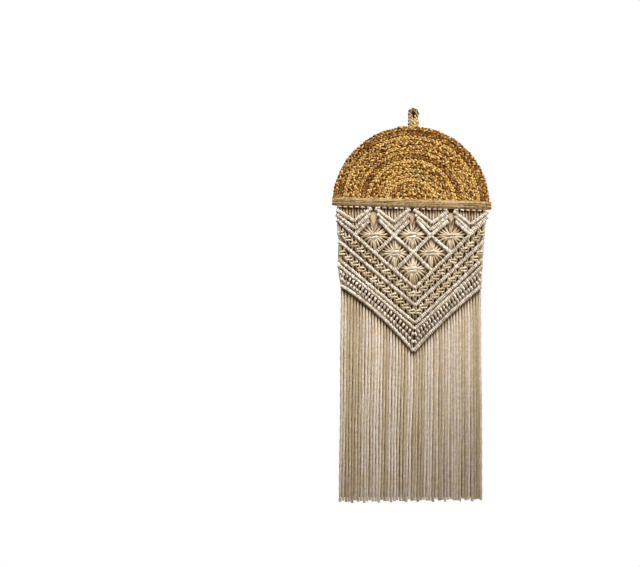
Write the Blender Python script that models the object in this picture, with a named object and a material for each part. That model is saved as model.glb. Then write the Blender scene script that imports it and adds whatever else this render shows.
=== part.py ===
"""A macrame wall hanging: a half disc of coiled jute braid with its loop, and knotted cotton cord below it.

Every size below is in millimetres. X runs to the right as the hanging is seen, Z up, and -Y to the front.
The origin is where a nail bears: the top of the eye in the hanging loop.
"""

import math
from collections import namedtuple

import bmesh
import bpy
from mathutils import Vector

MM = 0.001
GAP = 0.35  # between pieces that are sewn to each other
CORD = 4.0  # the cotton cord's thickness
HEAD_TILT = math.radians(1.6)  # the disc, its loop and its band hang turned clockwise by this much

# Half disc of jute braid
DISC_RADIUS = 148.7
DISC_CENTRE_X = -4.7
DISC_CENTRE_Z = -176.4
DISC_ROWS = 17
DISC_STEPS = 24  # round the half ring
DISC_CREST = 4.3  # each row's ridge stands this far in front of the middle plane
DISC_GROOVE = 2.2
DISC_BACK = 4.0

# Loop of the same braid
LOOP_HALF_WIDTH = 4.3  # of the flat braid in a leg
LOOP_BEND_HALF_WIDTH = 3.5  # where it turns over the nail
LOOP_HALF_DEPTH = 3.3
LOOP_LEG_X = 5.6  # from the loop's middle to a leg's middle, at the foot
LOOP_EYE_X = 6.9  # the same at the eye
LOOP_BUMPS = 15  # strands that cross along the loop
LOOP_BUMP = 0.35  # how far each stands out
LOOP_SIDES = 8

# Band that binds the disc's cut edge
BAND_LENGTH = 301.0
BAND_HEIGHT = 16.4
BAND_CENTRE_X = -3.5
BAND_CENTRE_Z = -173.6
BAND_FRONT = 6.2
BAND_EDGE = 0.12  # the thickness of its upper and lower edges, as a share of its full thickness
BAND_END = 0.9  # the same of its two ends
BAND_UNEVEN = 0.03  # thick and thin places along it
BAND_STEPS = 14
BAND_SIDES = 10

# Knotted panel
PANEL_BACK = 3.6
BAR_FRONT = 4.6
BAR_GROOVE = 2.9  # between two hitches of a bar
BAR_HALF_HEIGHT = 5.8  # of a sloping bar, measured straight down
BAR_HALF_WIDTH = 4.4
BAR_CREST_HALF_WIDTH = 2.6
BAR_PINCH = 0.86  # a bar's width in a groove, against its width on a ridge
VALLEY_FRONT = 1.0
V_STRANDS = 12
MOUNTING_KNOT_HEIGHT = 7.0  # of the cord's head under the band
SIDE_COLUMNS = 36  # grid columns in each half of the long V's: two a hitch ridge, three a small knot

# How far each kind of row in the long V's stands forward, at grid columns taken in turn
FORWARD = {
    "rim": (-PANEL_BACK,),
    "valley": (VALLEY_FRONT,),
    "bar": (BAR_GROOVE, BAR_FRONT),
    "knots": (1.4, 4.0, 4.0),
    "knots_between": (4.0, 1.4, 4.0),
    "grain": (1.8, 3.8),
    "grain_between": (3.8, 1.8),
}

# A V's left end, tip and right end, and how far each half bows upwards in its middle
Line = namedtuple("Line", "left_x left_z tip_x tip_z right_x right_z left_bow right_bow", defaults=(0.0, 0.0))
LONG_BARS = {
    "a": Line(-144.4, -204.4, 2.0, -333.6, 135.9, -204.4),
    "b": Line(-140.6, -245.0, 2.8, -366.0, 132.3, -245.1),
    "c1": Line(-141.5, -279.0, 2.3, -399.2, 129.8, -278.8, 0.0, -1.0),
    "c2": Line(-142.5, -290.0, 1.9, -410.6, 129.3, -292.0, 2.4, -0.8),
    "d": Line(-136.8, -328.6, 0.0, -451.9, 127.4, -330.0, 10.5, 5.5),
}
# The four V's under the band: each has an upper and a lower bar here, and its third bar is in the lattice.
UPPER_BARS = (
    Line(-145.3, -185.9, -112.3, -206.6, -78.9, -182.6),
    Line(-72.6, -182.6, -37.7, -208.5, -6.6, -184.2),
    Line(0.2, -185.3, 34.9, -210.4, 64.7, -188.6),
    Line(75.3, -188.6, 107.9, -213.2, 140.6, -189.2),
)
LOWER_BARS = (
    Line(-146.2, -193.8, -111.5, -221.0, -81.1, -192.5),
    Line(-68.9, -193.2, -37.6, -222.3, -7.9, -194.4),
    Line(2.4, -195.3, 33.6, -223.6, 65.1, -197.2),
    Line(77.4, -197.8, 107.9, -226.4, 139.6, -197.9),
)

# Crossings of the lattice: its free ends at the top, then row by row down to the tip.
Point = namedtuple("Point", "x z")
LATTICE = {
    "end1": Point(-84.0, -205.7),
    "end2": Point(-65.5, -204.7),
    "end3": Point(-8.9, -205.7),
    "end4": Point(5.7, -205.7),
    "end5": Point(65.1, -207.0),
    "end6": Point(78.9, -207.5),
    "v1": Point(-112.4, -234.0),
    "v2": Point(-37.4, -234.6),
    "v3": Point(31.9, -234.2),
    "v4": Point(107.9, -233.6),
    "p1": Point(-71.9, -266.9),
    "p2": Point(-0.9, -266.3),
    "p3": Point(69.9, -266.5),
    "q1": Point(-34.9, -299.9),
    "q2": Point(34.4, -300.3),
    "tip": Point(2.0, -333.6),
}
LATTICE_BARS = (
    ("end1", "v1"),
    ("end2", "v2", "p2", "q2"),
    ("end3", "v2", "p1"),
    ("end4", "v3", "p3"),
    ("end5", "v3", "p2", "q1"),
    ("end6", "v4"),
)
LATTICE_HITCHES = 4  # ridges on the bar along one side of a diamond
SIDE_STRANDS = 6  # strands that leave each side of a diamond for its knot
KNOT_HALF_WIDTH = 5.4
KNOT_MIDDLE = 1.4  # its wraps' middles stand this far in front of the middle plane
KNOT_FRONT = 5.0
KNOT_RISE = 0.12  # its two wraps climb to the right by this share
WRAP_APART = 2.1  # from the knot's middle to each wrap's
WRAP_HALF_HEIGHT = 2.5
# The third bar of each V: its left end, tip and right end. The outer V's share theirs with the long bar a.
THIRD_BARS = (
    Line(*LONG_BARS["a"][:2], *LATTICE["v1"], *LATTICE["end1"]),
    Line(*LATTICE["end2"], *LATTICE["v2"], *LATTICE["end3"]),
    Line(*LATTICE["end4"], *LATTICE["v3"], *LATTICE["end5"]),
    Line(*LATTICE["end6"], *LATTICE["v4"], *LONG_BARS["a"][4:6]),
)
Diamond = namedtuple("Diamond", "knot_x knot_z upper_left upper_right left right bottom")
DIAMONDS = (
    Diamond(-74.9, -234.6, "end1", "end2", "v1", "v2", "p1"),
    Diamond(-2.6, -233.6, "end3", "end4", "v2", "v3", "p2"),
    Diamond(69.6, -235.5, "end5", "end6", "v3", "v4", "p3"),
    Diamond(-34.8, -267.6, "v2", "v2", "p1", "p2", "q1"),
    Diamond(33.2, -266.8, "v3", "v3", "p2", "p3", "q2"),
    Diamond(-1.0, -298.0, "p2", "p2", "q1", "q2", "tip"),
)

# Fringe
STRANDS = 48
STRAND_HALF_WIDTH = 2.1
STRAND_STATIONS = 4
FRINGE_BOTTOM_Z = -734.5
FRINGE_UNEVEN = 3.2  # how far cut ends lie above or below that
FRINGE_CLIMB = 4.0  # the cut ends climb by this much from left to right
FRINGE_BOTTOM_X = (-138.6, 127.6)  # the outer strands' middles at the cut ends
FRINGE_SWAY = 0.25
BAR_HITCHES = 16  # ridges in each half of the last bar


def clear_scene():
    for obj in list(bpy.data.objects):
        bpy.data.objects.remove(obj, do_unlink=True)


def material(name, colour, roughness):
    made = bpy.data.materials.new(name)
    made.use_nodes = True
    shader = made.node_tree.nodes["Principled BSDF"]
    shader.inputs["Base Color"].default_value = (*colour, 1.0)
    shader.inputs["Roughness"].default_value = roughness
    shader.inputs["Metallic"].default_value = 0.0
    made.diffuse_color = (*colour, 1.0)
    return made


def finish(form, name, surface):
    """Turns a form in millimetres into a named object in metres."""
    bmesh.ops.recalc_face_normals(form, faces=form.faces)
    bmesh.ops.scale(form, vec=(MM, MM, MM), verts=form.verts)
    mesh = bpy.data.meshes.new(name)
    form.to_mesh(mesh)
    form.free()
    mesh.materials.append(surface)
    obj = bpy.data.objects.new(name, mesh)
    bpy.context.scene.collection.objects.link(obj)
    return obj


def helper(form, name, surface, collection):
    """A form that is fused into a node by a Boolean, and isn't rendered by itself."""
    obj = finish(form, name, surface)
    obj.hide_render = True
    obj.display_type = "WIRE"
    collection.objects.link(obj)
    bpy.context.scene.collection.objects.unlink(obj)
    return obj


def helper_collection(name):
    made = bpy.data.collections.new(name)
    bpy.context.scene.collection.children.link(made)
    return made


def fuse(obj, collection):
    union = obj.modifiers.new("fused", "BOOLEAN")
    union.operation = "UNION"
    union.solver = "EXACT"
    union.operand_type = "COLLECTION"
    union.collection = collection
    union.use_self = True


def head_point(x, z):
    """A point given from the disc's centre, turned with the disc."""
    return (
        DISC_CENTRE_X + x * math.cos(HEAD_TILT) + z * math.sin(HEAD_TILT),
        DISC_CENTRE_Z - x * math.sin(HEAD_TILT) + z * math.cos(HEAD_TILT),
    )


def band_edge(x, side):
    """The height of the band's upper (side 1) or lower (side -1) edge at x."""
    middle = BAND_CENTRE_Z - (x - BAND_CENTRE_X) * math.tan(HEAD_TILT)
    return middle + side * 0.5 * BAND_HEIGHT / math.cos(HEAD_TILT)


def along(start, end, share):
    return start + (end - start) * share


def on_line(line, share):
    """A point of a V, from its left end (share 0) over its tip (1) to its right end (2)."""
    if share <= 1.0:
        bow = line.left_bow * 4 * share * (1 - share)
        return along(line.left_x, line.tip_x, share), along(line.left_z, line.tip_z, share) + bow
    share -= 1.0
    bow = line.right_bow * 4 * share * (1 - share)
    return along(line.tip_x, line.right_x, share), along(line.tip_z, line.right_z, share) + bow


def add_relief(form, rows, back=None):
    """Adds a closed solid with a grid of points as its front; the rim, drawn back if asked, is filled flat."""
    grid = [[form.verts.new(point) for point in row] for row in rows]
    last_row, last_column = len(grid) - 2, len(grid[0]) - 2
    front = []
    for i, (upper, lower) in enumerate(zip(grid, grid[1:])):
        for k in range(last_column + 1):
            corners = (upper[k], lower[k], lower[k + 1], upper[k + 1])
            # A corner of the grid is split through its inner point: no triangle may lie in the back's plane.
            if (i, k) in ((0, 0), (last_row, last_column)):
                front.append(form.faces.new((corners[0], corners[1], corners[2])))
                front.append(form.faces.new((corners[0], corners[2], corners[3])))
            elif (i, k) in ((0, last_column), (last_row, 0)):
                front.append(form.faces.new((corners[1], corners[2], corners[3])))
                front.append(form.faces.new((corners[1], corners[3], corners[0])))
            else:
                front.append(form.faces.new(corners))
    edges = {edge for face in front for edge in face.edges}
    rim = [edge for edge in edges if edge.is_boundary]
    if back is not None:
        drawn = bmesh.ops.extrude_edge_only(form, edges=rim)["geom"]
        for part in drawn:
            if isinstance(part, bmesh.types.BMVert):
                part.co.y = back
        rim = [part for part in drawn if isinstance(part, bmesh.types.BMEdge) and part.is_boundary]
    bmesh.ops.edgeloop_fill(form, edges=rim)


def add_loft(form, rings):
    """Adds a closed solid whose skin runs through rings of equally many points."""
    loops = [[form.verts.new(point) for point in ring] for ring in rings]
    count = len(loops[0])
    for first, second in zip(loops, loops[1:]):
        for k in range(count):
            n = (k + 1) % count
            form.faces.new((first[k], first[n], second[n], second[k]))
    form.faces.new(loops[0][::-1])
    form.faces.new(loops[-1])


def jute_half_disc(surface):
    """Rows of braid in half rings; the straight edge is cut just above the centre, where the band begins."""
    pitch = DISC_RADIUS / DISC_ROWS
    cut = band_edge(DISC_CENTRE_X, 1) + GAP - DISC_CENTRE_Z
    rows = []
    for half_row in range(2 * DISC_ROWS + 1):
        radius = 0.5 * pitch * half_row
        if radius + 0.5 * pitch <= cut:
            continue
        # The innermost row starts almost on the cut, as a short and shallow arc.
        radius = max(radius, cut + 0.15)
        depth = DISC_CREST if half_row % 2 else DISC_GROOVE
        if half_row == 2 * DISC_ROWS:
            depth = 0.0
        first = math.asin(cut / radius)
        row = []
        for step in range(DISC_STEPS + 1):
            angle = along(math.pi - first, first, step / DISC_STEPS)
            x, z = head_point(radius * math.cos(angle), radius * math.sin(angle))
            row.append((x, -depth, z))
        rows.append(row)
    form = bmesh.new()
    add_relief(form, rows, DISC_BACK)
    return finish(form, "jute_half_disc", surface)


def hanging_loop(surface):
    """Flat braid folded over: two legs side by side on the rim, wider apart at the eye."""
    foot_x, foot_z = head_point(0.0, DISC_RADIUS + GAP)
    bend_z = -LOOP_EYE_X + LOOP_BEND_HALF_WIDTH
    leg = bend_z - foot_z
    bend = math.pi * LOOP_EYE_X
    stations = 2 * LOOP_BUMPS
    rings = []
    for station in range(stations + 1):
        travel = (2 * leg + bend) * station / stations
        if travel < leg:
            rise = travel / leg
            angle, height, side = math.pi, along(foot_z, bend_z, rise), -1
        elif travel > leg + bend:
            rise = (2 * leg + bend - travel) / leg
            angle, height, side = 0.0, along(foot_z, bend_z, rise), 1
        else:
            rise = 1.0
            angle = math.pi * (1 - (travel - leg) / bend)
            height, side = bend_z, 0
        opened = max(0.0, 2 * rise - 1)
        opened = opened * opened * (3 - 2 * opened)
        reach = along(LOOP_LEG_X, LOOP_EYE_X, opened)
        half_width = along(LOOP_HALF_WIDTH, LOOP_BEND_HALF_WIDTH, opened)
        if side:
            middle = Vector((side * reach, 0, height))
            outward = Vector((side, 0, 0))
        else:
            outward = Vector((math.cos(angle), 0, math.sin(angle)))
            middle = Vector((0, 0, height)) + outward * reach
        middle.x += along(foot_x, 0.0, rise)
        bump = LOOP_BUMP if station % 2 else -LOOP_BUMP
        lean = LOOP_BUMP if station % 4 < 2 else -LOOP_BUMP
        ring = []
        for k in range(LOOP_SIDES):
            turn = 2 * math.pi * (k + 0.5) / LOOP_SIDES
            across = (half_width + 0.5 * (bump - LOOP_BUMP)) * math.cos(turn)
            depth = (LOOP_HALF_DEPTH - LOOP_BUMP + bump + lean * math.cos(turn)) * math.sin(turn)
            ring.append(middle + outward * across + Vector((0, depth, 0)))
        rings.append(ring)
    form = bmesh.new()
    add_loft(form, rings)
    return finish(form, "hanging_loop", surface)


def binding_band(surface):
    """A folded strip, flat behind and full in front, a little thick and thin along its length."""
    rings = []
    for step in range(BAND_STEPS + 1):
        share = step / BAND_STEPS
        x = BAND_CENTRE_X + (share - 0.5) * BAND_LENGTH * math.cos(HEAD_TILT)
        middle = band_edge(x, 1) - 0.5 * BAND_HEIGHT
        full = BAND_FRONT * (BAND_END if step in (0, BAND_STEPS) else 1.0)
        full *= 1 + BAND_UNEVEN * (math.sin(11 * share) + 0.7 * math.sin(27 * share + 1))
        ring = []
        for k in range(BAND_SIDES):
            turn = 2 * math.pi * (k + 0.5) / BAND_SIDES
            thick = full * min(1.0, 1.15 * abs(math.cos(turn)) + BAND_EDGE)
            depth = -thick if math.cos(turn) > 0 else min(DISC_BACK, thick)
            ring.append((x, depth, middle + 0.5 * BAND_HEIGHT * math.sin(turn)))
        rings.append(ring)
    form = bmesh.new()
    add_loft(form, rings)
    return finish(form, "binding_band", surface)


def raised(line, rise):
    return line._replace(left_z=line.left_z + rise, tip_z=line.tip_z + rise, right_z=line.right_z + rise)


def between(upper, lower, share):
    return Line(*(along(u, w, share) for u, w in zip(upper, lower)))


def long_v_rows():
    """The rows across the long V's: bars a, b, c1 and c2 with bands of small knots between them."""
    a, b, c1, c2, d = (LONG_BARS[name] for name in ("a", "b", "c1", "c2", "d"))
    half = BAR_HALF_HEIGHT
    a_foot, b_head, b_foot = raised(a, -half), raised(b, half), raised(b, -half)
    c1_head, c2_foot = raised(c1, half), raised(c2, -half)
    end = raised(d, half + 3 * GAP)
    return (
        (raised(a, half), "rim"),
        (a, "bar"),
        (a_foot, "valley"),
        (between(a_foot, b_head, 0.3), "knots"),
        (between(a_foot, b_head, 0.7), "knots_between"),
        (b_head, "valley"),
        (b, "bar"),
        (b_foot, "valley"),
        (between(b_foot, c1_head, 0.3), "knots"),
        (between(b_foot, c1_head, 0.7), "knots_between"),
        (c1_head, "valley"),
        (c1, "bar"),
        (between(c1, c2, 0.5), "valley"),
        (c2, "bar"),
        (c2_foot, "valley"),
        (between(c2_foot, end, 0.25), "grain"),
        (between(c2_foot, end, 0.5), "valley"),
        (between(c2_foot, end, 0.75), "grain_between"),
        (end, "rim"),
    )


def add_long_vs(form):
    rows = []
    for line, kind in long_v_rows():
        row = []
        for column in range(2 * SIDE_COLUMNS + 1):
            x, z = on_line(line, column / SIDE_COLUMNS)
            turns = FORWARD["rim" if column in (0, 2 * SIDE_COLUMNS) else kind]
            row.append((x, -turns[column % len(turns)], z))
        rows.append(row)
    add_relief(form, rows)


def add_upper_v(form, upper, lower, third):
    """One V under the band: mounting knots, upright strands and two bars; its rim runs under the third."""
    back = PANEL_BACK - 0.25
    columns = 2 * V_STRANDS
    rows = [[] for _ in range(9)]
    for column in range(columns + 1):
        share = 2 * column / columns
        x1, z1 = on_line(upper, share)
        x2, z2 = on_line(lower, share)
        x3, z3 = on_line(third, share)
        top = band_edge(x1, -1) - GAP
        room = top - z1
        head = min(room, MOUNTING_KNOT_HEIGHT)
        on_strand = column % 2 == 1
        is_between_knots = column % 4 == 0
        stations = (
            (x1, top, -back),
            (x1, top - 0.35 * head, 1.6 if is_between_knots else 4.2),
            (x1, top - 0.75 * head, 1.0 if is_between_knots else 2.4),
            (x1, z1 + min(BAR_HALF_HEIGHT, 0.2 * room), 2.0 if on_strand else 0.8),
            (x1, z1, BAR_FRONT if on_strand else BAR_GROOVE),
            (along(x1, x2, 0.5), along(z1, z2, 0.5), VALLEY_FRONT),
            (x2, z2, BAR_FRONT if on_strand else BAR_GROOVE),
            (along(x2, x3, 0.45), along(z2, z3, 0.45), VALLEY_FRONT),
            (x3, z3, -back),
        )
        for row, (x, z, depth) in zip(rows, stations):
            row.append((x, back if column in (0, columns) else -depth, z))
    add_relief(form, rows)


def route_point(route, share):
    """The point at a share of the way along a route of (x, z) points."""
    steps = [math.dist(p, q) for p, q in zip(route, route[1:])]
    travel = sum(steps) * share
    leg = 0
    while leg < len(steps) - 1 and travel > steps[leg]:
        travel -= steps[leg]
        leg += 1
    return Vector(route[leg]).lerp(Vector(route[leg + 1]), travel / steps[leg])


def add_ridged_bar(form, route, ridges, back):
    """A bar of double half hitches along a route of (x, z) points: flat behind, a ridge for each hitch."""
    stations = 2 * ridges
    rings = []
    for station in range(stations + 1):
        middle = route_point(route, station / stations)
        before = route_point(route, max(0.0, (station - 0.5) / stations))
        after = route_point(route, min(1.0, (station + 0.5) / stations))
        way = (after - before).normalized()
        across = Vector((-way.y, way.x)) * (1.0 if station % 2 else BAR_PINCH)
        front = -BAR_FRONT if station % 2 else -BAR_GROOVE
        section = (
            (-BAR_HALF_WIDTH, back),
            (-BAR_CREST_HALF_WIDTH, front),
            (BAR_CREST_HALF_WIDTH, front),
            (BAR_HALF_WIDTH, back),
        )
        ring = []
        for side, depth in section:
            point = middle + across * side
            ring.append((point.x, depth, point.y))
        rings.append(ring)
    add_loft(form, rings)


def add_strand(form, stations, half_width):
    """A four-sided strand of cord through points (x, y, z)."""
    rings = []
    for x, y, z in stations:
        ring = []
        for dx, dy in ((-1, 0), (0, -1), (1, 0), (0, 1)):
            ring.append((x + dx * half_width, y + dy * half_width, z))
        rings.append(ring)
    add_loft(form, rings)


def add_fan_strand(form, root, knot):
    """A straight three-sided strand from a bar to a knot, which squeezes it."""
    root, knot = Vector(root), Vector(knot)
    way = (knot - root).normalized()
    across = Vector((way.z, 0, -way.x)).normalized() * math.cos(math.pi / 6)
    forward = Vector((0, -1, 0))
    corners = (forward, across - 0.5 * forward, -across - 0.5 * forward)
    rings = []
    for middle, radius in ((root, 0.55 * CORD), (knot, 0.32 * CORD)):
        rings.append([middle + corner * radius for corner in corners])
    add_loft(form, rings)


def add_fan(form, diamond):
    """The strands that run from a diamond's four sides to its knot, and the knot's two wraps."""
    knot = Point(diamond.knot_x, diamond.knot_z)
    sides = (
        (diamond.upper_left, diamond.left, -1, 1),
        (diamond.upper_right, diamond.right, 1, 1),
        (diamond.bottom, diamond.left, -1, -1),
        (diamond.bottom, diamond.right, 1, -1),
    )
    for inner, outer, across, up in sides:
        inner, outer = LATTICE[inner], LATTICE[outer]
        for k in range(SIDE_STRANDS):
            share = (k + 0.6) / SIDE_STRANDS
            root = (along(inner.x, outer.x, share), 0.0, along(inner.z, outer.z, share))
            # The strands enter the knot in the order in which they left the bar.
            reach = across * along(0.5, 4.1, share)
            lift = up * along(2.6, 1.0, share)
            add_fan_strand(form, root, (knot.x + reach, -KNOT_MIDDLE, knot.z + lift))
    for level in (-WRAP_APART, WRAP_APART):
        rings = []
        for side, size in ((-1.0, 0.55), (-0.62, 1.0), (0.62, 1.0), (1.0, 0.55)):
            x = side * KNOT_HALF_WIDTH
            ring = []
            for k in range(6):
                turn = math.pi * k / 3
                depth = KNOT_MIDDLE + (KNOT_FRONT - KNOT_MIDDLE) * size * math.cos(turn)
                height = level + KNOT_RISE * x + WRAP_HALF_HEIGHT * size * math.sin(turn)
                ring.append((knot.x + x, -depth, knot.z + height))
            rings.append(ring)
        add_loft(form, rings)


def macrame_panel(surface):
    pieces = helper_collection("panel_pieces")
    vs = bmesh.new()
    for bars in zip(UPPER_BARS, LOWER_BARS, THIRD_BARS):
        add_upper_v(vs, *bars)
    helper(vs, "upper_vs", surface, pieces)
    for n, names in enumerate(LATTICE_BARS):
        route = [tuple(LATTICE[name]) for name in names]
        bar = bmesh.new()
        add_ridged_bar(bar, route, LATTICE_HITCHES * (len(route) - 1), PANEL_BACK - 0.5 - 0.1 * n)
        helper(bar, f"lattice_bar_{n + 1}", surface, pieces)
    for n, diamond in enumerate(DIAMONDS):
        fan = bmesh.new()
        add_fan(fan, diamond)
        helper(fan, f"fan_{n + 1}", surface, pieces)
    form = bmesh.new()
    add_long_vs(form)
    fuse(finish(form, "macrame_panel", surface), pieces)


def cord_fringe(surface):
    """The last V bar with the strands that hang from it."""
    pieces = helper_collection("fringe_pieces")
    line = LONG_BARS["d"]
    strands = bmesh.new()
    left, right = FRINGE_BOTTOM_X
    for k in range(STRANDS):
        share = (k + 0.5) / STRANDS
        root_x, root_z = on_line(line, 2 * share)
        end_x = along(left, right, k / (STRANDS - 1))
        uneven = FRINGE_UNEVEN * math.sin(2.1 * k) * math.cos(0.7 * k)
        end_z = FRINGE_BOTTOM_Z + uneven + FRINGE_CLIMB * (share - 0.5)
        stations = []
        for step in range(STRAND_STATIONS):
            fall = step / (STRAND_STATIONS - 1)
            sway = FRINGE_SWAY * math.sin(1.9 * k + 3 * fall) * min(1.0, 4 * fall)
            stations.append((
                along(root_x, end_x, fall) + sway,
                0.5 * math.sin(2.6 * k) * fall,
                along(root_z, end_z, fall),
            ))
        add_strand(strands, stations, STRAND_HALF_WIDTH)
    helper(strands, "strands", surface, pieces)
    route = [on_line(line, k / BAR_HITCHES) for k in range(2 * BAR_HITCHES + 1)]
    form = bmesh.new()
    add_ridged_bar(form, route, 2 * BAR_HITCHES, PANEL_BACK)
    fuse(finish(form, "cord_fringe", surface), pieces)


clear_scene()
jute = material("jute_braid", (0.50, 0.30, 0.11), 0.85)
jute_strip = material("jute_strip", (0.52, 0.37, 0.19), 0.85)
cotton = material("cotton_cord", (0.80, 0.72, 0.60), 0.9)
fringe_cotton = material("fringe_cord", (0.68, 0.56, 0.42), 0.9)
hanging_loop(jute)
jute_half_disc(jute)
binding_band(jute_strip)
macrame_panel(cotton)
cord_fringe(fringe_cotton)
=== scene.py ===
"""The looks of a macrame wall hanging: a half disc of plaited jute with knotted cotton cord below it.

Routes are in millimetres, with X to the right as the hanging is seen, Z up and -Y to the front.
"""

import math
import random
from collections import namedtuple

import bmesh
import bpy
from mathutils import Matrix, Vector, noise


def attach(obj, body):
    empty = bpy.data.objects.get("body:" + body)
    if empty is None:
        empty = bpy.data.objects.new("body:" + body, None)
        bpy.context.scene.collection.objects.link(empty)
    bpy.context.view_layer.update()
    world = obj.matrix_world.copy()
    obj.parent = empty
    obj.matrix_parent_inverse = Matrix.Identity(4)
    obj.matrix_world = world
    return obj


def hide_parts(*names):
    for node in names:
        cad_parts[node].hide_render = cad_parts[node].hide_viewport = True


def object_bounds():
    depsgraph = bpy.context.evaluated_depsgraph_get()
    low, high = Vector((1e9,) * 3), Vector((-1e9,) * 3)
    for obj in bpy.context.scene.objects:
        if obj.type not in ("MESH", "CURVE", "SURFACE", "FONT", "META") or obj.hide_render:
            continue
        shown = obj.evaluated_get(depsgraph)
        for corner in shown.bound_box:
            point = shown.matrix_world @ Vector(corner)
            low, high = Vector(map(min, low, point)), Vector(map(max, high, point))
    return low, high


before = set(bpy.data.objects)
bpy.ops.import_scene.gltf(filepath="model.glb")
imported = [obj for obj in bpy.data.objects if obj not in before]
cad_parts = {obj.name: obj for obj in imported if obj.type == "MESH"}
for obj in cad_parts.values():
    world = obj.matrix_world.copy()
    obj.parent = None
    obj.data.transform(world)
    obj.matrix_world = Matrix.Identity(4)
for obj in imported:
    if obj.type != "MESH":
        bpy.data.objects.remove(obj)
cad_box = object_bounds()

# ---------------------------------------------------------------------------------------------
# Stage: the hanging is seen face on through a long lens, to the right of the picture's middle,
# before plain white, over a pale floor. A beige card, smaller than its outline, stands close behind
# it for the wall that shows through its gaps, and has a face only to the front.

MM = 0.001
PICTURE = (640, 567)  # pixels
NAIL_PIXEL = (413.5, 111.5)  # where the loop's eye shows in it
PIXEL = 1.887 * MM
LENS = 100.0
SENSOR = 36.0
CARD_Y = 3.6 * MM
CARD_PATCHES = (  # half a width, half a height and a middle: behind the loop, then from the band down
    (0.0045, 0.013, (0, 4.4 * MM, -0.012)),
    (0.138, 0.020, (-0.0025, CARD_Y, -0.197)),
    (0.1345, 0.040, (-0.0035, CARD_Y, -0.257)),
    (0.132, 0.2155, (-0.005, CARD_Y, -0.5125)),
)
CARD_HOLLOW_REACH = 8 * MM  # a cord this near shades the card
FLOOR_REACH = 4.0
FLOOR_DROP = 0.85  # below the fringe's ends
WHITE = (1.0, 1.0, 1.0)

scene = bpy.context.scene
scene.view_settings.view_transform = "Standard"


class Wire:
    """A socket of a node tree. Python's operators add Math nodes, and add() adds any other node."""

    def __init__(self, tree, socket=None):
        self.tree = tree
        self.socket = socket

    def add(self, kind, output=0, settings=None, inputs=None):
        node = self.tree.nodes.new(kind)
        for key, value in (settings or {}).items():
            setattr(node, key, value)
        for key, value in (inputs or {}).items():
            if isinstance(value, Wire):
                self.tree.links.new(value.socket, node.inputs[key])
            else:
                node.inputs[key].default_value = value
        return Wire(self.tree, node.outputs[output] if node.outputs else None)

    def maths(self, operation, *values):
        inputs = dict(enumerate((self, *values)))
        return self.add("ShaderNodeMath", settings={"operation": operation}, inputs=inputs)

    def mix(self, low, high):
        """The colour that lies between two, by this value."""
        inputs = {0: self, 6: low, 7: high}
        return self.add("ShaderNodeMix", output=2, settings={"data_type": "RGBA"}, inputs=inputs)

    def between(self, low, high):
        """0 where the value is low, 1 where it is high, and a smooth step between."""
        inputs = {0: self, 1: low, 2: high}
        return self.add("ShaderNodeMapRange", settings={"interpolation_type": "SMOOTHSTEP"}, inputs=inputs)

    def axis(self, name):
        """One coordinate of this place, by the axis' letter."""
        return self.add("ShaderNodeSeparateXYZ", output=name, inputs={0: self})

    def cloud(self, scale, detail):
        """Noise over this place."""
        return self.add("ShaderNodeTexNoise", inputs={"Vector": self, "Scale": scale, "Detail": detail})

    def __add__(self, other):
        return self.maths("ADD", other)

    def __sub__(self, other):
        return self.maths("SUBTRACT", other)

    def __rsub__(self, other):
        return (self * -1.0) + other

    def __mul__(self, other):
        return self.maths("MULTIPLY", other)

    __radd__ = __add__
    __rmul__ = __mul__


def new_material(name):
    """A material, and its tree, emptied but for its output, as a Wire."""
    made = bpy.data.materials.new(name)
    made.use_nodes = True
    for node in list(made.node_tree.nodes):
        if node.type != "OUTPUT_MATERIAL":
            made.node_tree.nodes.remove(node)
    return made, Wire(made.node_tree)


def put_out(shader):
    """Makes a shader the one that its material shows."""
    output = next(node for node in shader.tree.nodes if node.type.startswith("OUTPUT"))
    shader.tree.links.new(shader.socket, output.inputs["Surface"])


def plane(name, turn, surface, *patches):
    """A flat stage piece of patches, each given as half its width, half its height and its middle."""
    form = bmesh.new()
    for half_width, half_height, place in patches:
        patch = Matrix.Translation(place) @ turn @ Matrix.Diagonal((half_width, half_height, 1, 1))
        bmesh.ops.create_grid(form, x_segments=1, y_segments=1, size=1.0, matrix=patch)
    mesh = bpy.data.meshes.new(name)
    form.to_mesh(mesh)
    form.free()
    mesh.materials.append(surface)
    made = bpy.data.objects.new(name, mesh)
    scene.collection.objects.link(made)
    return made


camera_data = bpy.data.cameras.new("camera")
camera_data.lens = LENS
camera_data.sensor_width = SENSOR
camera = bpy.data.objects.new("camera", camera_data)
distance = PICTURE[0] * PIXEL * LENS / SENSOR
camera.location = (
    (PICTURE[0] / 2 - NAIL_PIXEL[0]) * PIXEL,
    -distance,
    (NAIL_PIXEL[1] - PICTURE[1] / 2) * PIXEL,
)
camera.rotation_euler = (math.pi / 2, 0, 0)
scene.collection.objects.link(camera)
scene.camera = camera

card_paint, wire = new_material("card_paint")
place = wire.add("ShaderNodeTexCoord", output="Object")
height = place.axis("Z")
rightward = place.axis("X")
lit = rightward.maths("ABSOLUTE").between(0.02, 0.05).mix((0.74, 0.52, 0.36, 1.0), (0.72, 0.57, 0.35, 1.0))
# Painted shade: the card darkens where cords come near it, a little more behind the fringe than behind the
# panel, and in a painted shadow just under the band.
open_air = wire.add("ShaderNodeAmbientOcclusion", output="AO", inputs={"Distance": CARD_HOLLOW_REACH})
above_fringe = height.between(-0.345, -0.325)
band_shadow = (height + rightward * 0.028).between(-0.194, -0.186)
openness = open_air + above_fringe * 0.08 - band_shadow * 0.45
hollow = openness.between(0.46, 0.80).mix((0.05, 0.022, 0.004, 1.0), lit)
# Painted shade: the patch behind the loop, seen only through its eye, is dark brown.
tone = height.between(-0.06, -0.05).mix(hollow, (0.06, 0.028, 0.01, 1.0))
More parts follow.
